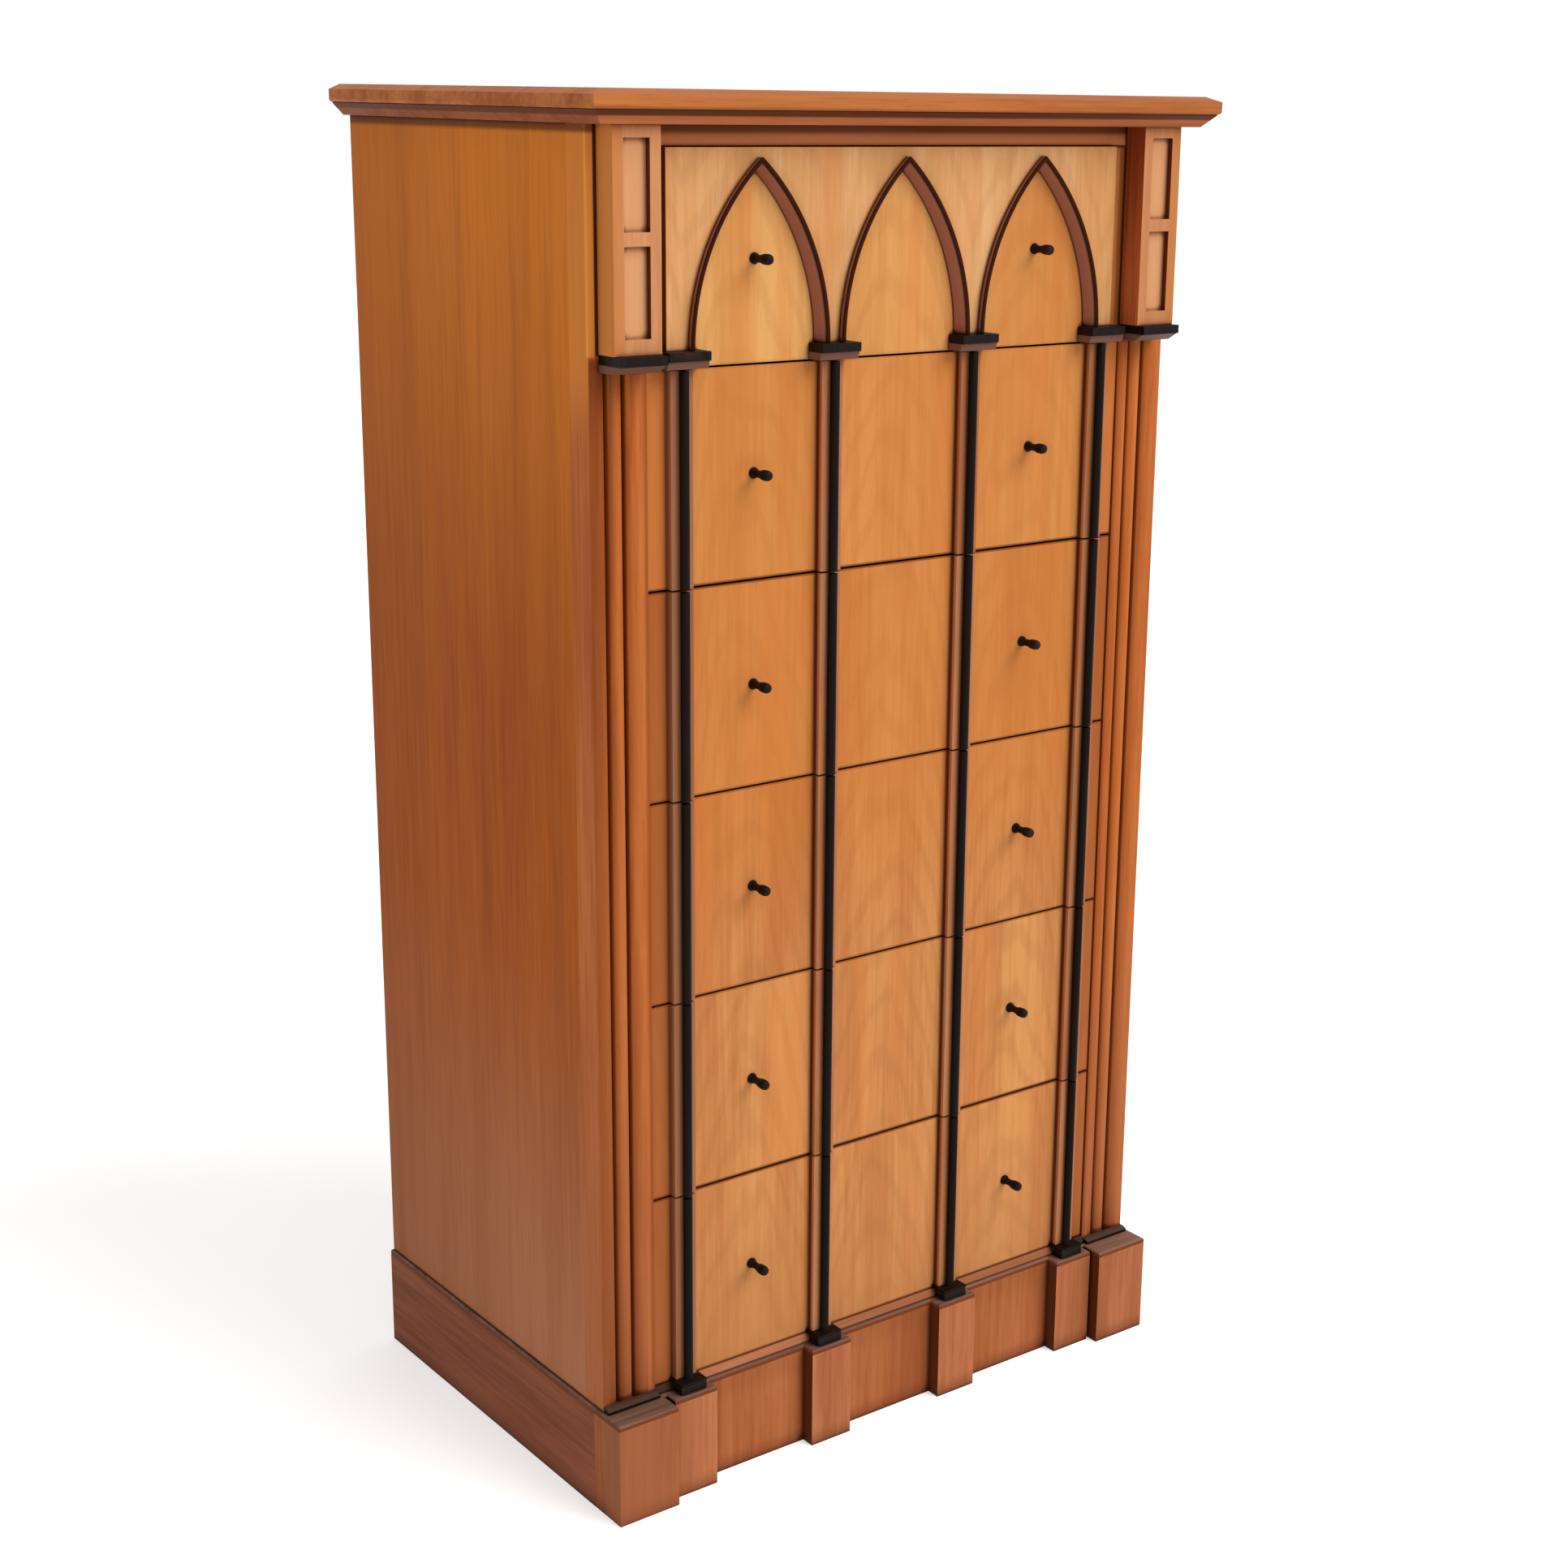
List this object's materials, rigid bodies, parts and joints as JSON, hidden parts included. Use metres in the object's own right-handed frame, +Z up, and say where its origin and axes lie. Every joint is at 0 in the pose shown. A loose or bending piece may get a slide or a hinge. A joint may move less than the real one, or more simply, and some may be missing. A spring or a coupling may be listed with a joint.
{
  "type": "chiffonier",
  "caption": "Tall wooden chest of drawers with reeded corner posts, pointed arches on the top drawer, black colonnettes below and a plinth broken forward in blocks.",
  "frame": {"origin": "on the floor, under the middle of the object's bounding box", "axes": "+Z up, +Y towards the back, the drawers open towards -Y, +X to the right seen from the front"},
  "size_m": [0.737, 0.489, 1.36],
  "materials": {
    "polished_front": "satin polish",
    "polished_side": "satin polish",
    "polished_plinth": "satin polish",
    "bare_wood": "unpolished",
    "ebonised": "black satin"
  },
  "bodies": {
    "case": {"top_board": "polished_front", "cornice_moulding": "polished_front", "frieze_rail": "polished_front", "side_panel_left": "polished_side", "side_panel_right": "polished_side", "back_panel": "bare_wood", "floor_board": "bare_wood", "dust_boards": "bare_wood", "sill": "polished_front", "corner_post_left": "polished_front", "corner_post_right": "polished_front", "frieze_blocks": "polished_front", "pilaster_capitals": "ebonised", "pilaster_bases": "ebonised", "colonnette_bases": "ebonised", "plinth_front": "polished_plinth", "plinth_sides": "polished_plinth", "plinth_back": "bare_wood", "corner_blocks": "polished_plinth", "pedestal_blocks": "polished_plinth", "plinth_cap": "polished_plinth"},
    "drawer_1": {"drawer_1_front": "polished_front", "drawer_1_sides": "bare_wood", "drawer_1_back": "bare_wood", "drawer_1_bottom": "bare_wood", "drawer_1_knobs": "ebonised", "drawer_1_capitals": "ebonised", "drawer_1_spandrels": "polished_front", "drawer_1_arches": "ebonised"},
    "drawer_2": {"drawer_2_front": "polished_front", "drawer_2_sides": "bare_wood", "drawer_2_back": "bare_wood", "drawer_2_bottom": "bare_wood", "drawer_2_knobs": "ebonised", "drawer_2_colonnettes": "ebonised"},
    "drawer_3": {"drawer_3_front": "polished_front", "drawer_3_sides": "bare_wood", "drawer_3_back": "bare_wood", "drawer_3_bottom": "bare_wood", "drawer_3_knobs": "ebonised", "drawer_3_colonnettes": "ebonised"},
    "drawer_4": {"drawer_4_front": "polished_front", "drawer_4_sides": "bare_wood", "drawer_4_back": "bare_wood", "drawer_4_bottom": "bare_wood", "drawer_4_knobs": "ebonised", "drawer_4_colonnettes": "ebonised"},
    "drawer_5": {"drawer_5_front": "polished_front", "drawer_5_sides": "bare_wood", "drawer_5_back": "bare_wood", "drawer_5_bottom": "bare_wood", "drawer_5_knobs": "ebonised", "drawer_5_colonnettes": "ebonised"},
    "drawer_6": {"drawer_6_front": "polished_front", "drawer_6_sides": "bare_wood", "drawer_6_back": "bare_wood", "drawer_6_bottom": "bare_wood", "drawer_6_knobs": "ebonised", "drawer_6_colonnettes": "ebonised"}
  },
  "joints": [
    {"name": "drawer_1_slide", "type": "slide", "parent": "case", "child": "drawer_1", "axis": [0, -1, 0], "range_m": [0, 0.32]},
    {"name": "drawer_2_slide", "type": "slide", "parent": "case", "child": "drawer_2", "axis": [0, -1, 0], "range_m": [0, 0.32]},
    {"name": "drawer_3_slide", "type": "slide", "parent": "case", "child": "drawer_3", "axis": [0, -1, 0], "range_m": [0, 0.32]},
    {"name": "drawer_4_slide", "type": "slide", "parent": "case", "child": "drawer_4", "axis": [0, -1, 0], "range_m": [0, 0.32]},
    {"name": "drawer_5_slide", "type": "slide", "parent": "case", "child": "drawer_5", "axis": [0, -1, 0], "range_m": [0, 0.32]},
    {"name": "drawer_6_slide", "type": "slide", "parent": "case", "child": "drawer_6", "axis": [0, -1, 0], "range_m": [0, 0.32]}
  ]
}
